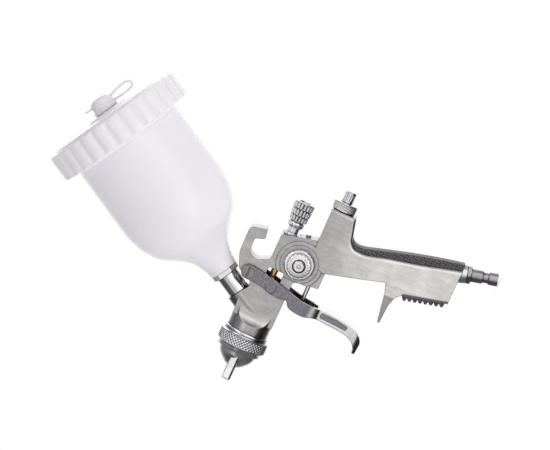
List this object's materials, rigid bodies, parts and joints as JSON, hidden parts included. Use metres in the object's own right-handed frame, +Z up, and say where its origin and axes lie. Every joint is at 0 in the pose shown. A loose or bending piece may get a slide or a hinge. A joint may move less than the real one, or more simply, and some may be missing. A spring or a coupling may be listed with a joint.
{
  "type": "gravity-feed spray gun",
  "caption": "Gravity-feed air spray gun with finger trigger, side fan dial, rear fluid knob, hanging hook, quick-connect air plug and a screw-on plastic cup with vented lid.",
  "frame": {"origin": "centre of the air plug's mouth at the bottom of the handle", "axes": "+Z up with the gun held level, spray leaves along -X, fan dial on the -Y side"},
  "size_m": [0.1861, 0.108, 0.3327],
  "materials": {
    "cast_alloy": "polished casting, satin",
    "trigger_alloy": "cast, polished finger face",
    "chrome_plate": "bright plated",
    "turned_steel": "fine turned",
    "spring_steel": "drawn wire",
    "brass": "turned",
    "nickel_brass": "nickel plated",
    "black_grip": "fine textured",
    "dark_metal": "black oxide",
    "seal": "matt",
    "ptfe": "waxy",
    "cup_plastic": "translucent milky moulding",
    "lid_plastic": "milky moulding"
  },
  "bodies": {
    "gun": {"gun_body": "cast_alloy", "grip_back": "black_grip", "grip_front": "black_grip", "fluid_nozzle": "turned_steel", "nozzle_gasket": "ptfe", "air_distributor": "brass", "needle_packing": "ptfe", "packing_nut": "dark_metal", "needle_bushing": "chrome_plate", "needle_spring": "spring_steel", "guide_screw": "dark_metal", "trigger_pin": "turned_steel", "trigger_screw": "turned_steel", "air_stem_packing": "brass", "air_valve_seat": "brass", "air_valve_spring": "spring_steel", "air_valve_nut": "chrome_plate", "fan_housing": "chrome_plate", "inlet_nut": "dark_metal", "air_plug": "dark_metal", "cup_inlet_adapter": "chrome_plate"},
    "cap_mount": {"cap_snap_ring": "spring_steel"},
    "cap_ring": {"cap_ring": "chrome_plate"},
    "air_cap": {"air_cap": "nickel_brass"},
    "needle": {"needle": "turned_steel", "needle_collar": "brass"},
    "trigger": {"trigger": "trigger_alloy"},
    "air_stem": {"air_stem": "turned_steel", "air_poppet": "seal"},
    "needle_stop": {"needle_stop": "turned_steel"},
    "fluid_knob": {"fluid_knob": "chrome_plate"},
    "air_stop": {"air_stop": "turned_steel"},
    "air_knob": {"air_adjust_knob": "chrome_plate"},
    "fan_dial": {"fan_dial": "chrome_plate", "fan_spool": "brass", "fan_seal": "seal", "fan_dial_screw": "turned_steel"},
    "cup_filter": {"cup_filter": "ptfe"},
    "cup": {"cup": "cup_plastic", "cup_collar": "chrome_plate", "cup_gasket": "ptfe"},
    "lid_gasket": {"lid_gasket": "seal"},
    "lid": {"lid": "lid_plastic"},
    "vent_plug": {"vent_plug": "lid_plastic"}
  },
  "joints": [
    {"name": "trigger_pull", "type": "hinge", "parent": "gun", "child": "trigger", "pos_m": [-0.0684, 0, 0.1673], "axis": [0, -1, 0], "range_deg": [0, 12.5]},
    {"name": "needle_slide", "type": "slide", "parent": "gun", "child": "needle", "axis": [1, 0, 0], "range_m": [0, 0.004], "deforming": ["needle_spring"]},
    {"name": "air_stem_slide", "type": "slide", "parent": "gun", "child": "air_stem", "axis": [1, 0, 0], "range_m": [0, 0.01], "deforming": ["air_valve_spring"]},
    {"name": "needle_stop_slide", "type": "slide", "parent": "gun", "child": "needle_stop", "axis": [1, 0, 0], "range_m": [0, 0.003]},
    {"name": "fluid_knob_turn", "type": "hinge", "parent": "needle_stop", "child": "fluid_knob", "pos_m": [-0.0187, 0, 0.15], "axis": [1, 0, 0], "range_deg": [0, 1081]},
    {"name": "air_stop_slide", "type": "slide", "parent": "gun", "child": "air_stop", "axis": [1, 0, 0], "range_m": [0, 0.003]},
    {"name": "air_knob_turn", "type": "hinge", "parent": "air_stop", "child": "air_knob", "pos_m": [0.0093, 0, 0.1228], "axis": [1, 0, 0], "range_deg": [0, 1081]},
    {"name": "fan_dial_turn", "type": "hinge", "parent": "gun", "child": "fan_dial", "pos_m": [-0.0485, -0.017, 0.1358], "axis": [0, -1, 0], "range_deg": [-80, 80]},
    {"name": "cap_draw", "type": "slide", "parent": "gun", "child": "cap_mount", "axis": [-1, 0, 0], "range_m": [0, 0.0091]},
    {"name": "cap_ring_turn", "type": "hinge", "parent": "cap_mount", "child": "cap_ring", "pos_m": [-0.1187, 0, 0.15], "axis": [-1, 0, 0], "range_deg": [0, 2160]},
    {"name": "air_cap_turn", "type": "hinge", "parent": "cap_mount", "child": "air_cap", "pos_m": [-0.1287, 0, 0.15], "axis": [-1, 0, 0], "range_deg": [-90, 90]},
    {"name": "cup_lift", "type": "slide", "parent": "gun", "child": "cup_filter", "axis": [0.4939, 0, 0.8695], "range_m": [0, 0.0121]},
    {"name": "cup_turn", "type": "hinge", "parent": "cup_filter", "child": "cup", "pos_m": [-0.07342, 0, 0.18919], "axis": [0.4939, 0, 0.8695], "range_deg": [0, 2880]},
    {"name": "lid_lift", "type": "slide", "parent": "cup", "child": "lid_gasket", "axis": [0.4939, 0, 0.8695], "range_m": [0, 0.0081]},
    {"name": "lid_turn", "type": "hinge", "parent": "lid_gasket", "child": "lid", "pos_m": [-0.01168, 0, 0.29788], "axis": [0.4939, 0, 0.8695], "range_deg": [0, 720]},
    {"name": "vent_pull", "type": "slide", "parent": "lid", "child": "vent_plug", "axis": [0.4939, 0, 0.8695], "range_m": [0, 0.01]}
  ],
  "couplings": [
    {"joint": "needle_slide", "follows": "trigger_pull", "m_per_rad": 0.0173},
    {"joint": "air_stem_slide", "follows": "trigger_pull", "m_per_rad": 0.0456},
    {"joint": "fluid_knob_turn", "follows": "needle_stop_slide", "rad_per_m": 6283.2},
    {"joint": "air_knob_turn", "follows": "air_stop_slide", "rad_per_m": 6283.2},
    {"joint": "cap_draw", "follows": "cap_ring_turn", "m_per_rad": 0.00023873},
    {"joint": "cup_lift", "follows": "cup_turn", "m_per_rad": 0.00023873},
    {"joint": "lid_lift", "follows": "lid_turn", "m_per_rad": 0.00063662}
  ]
}
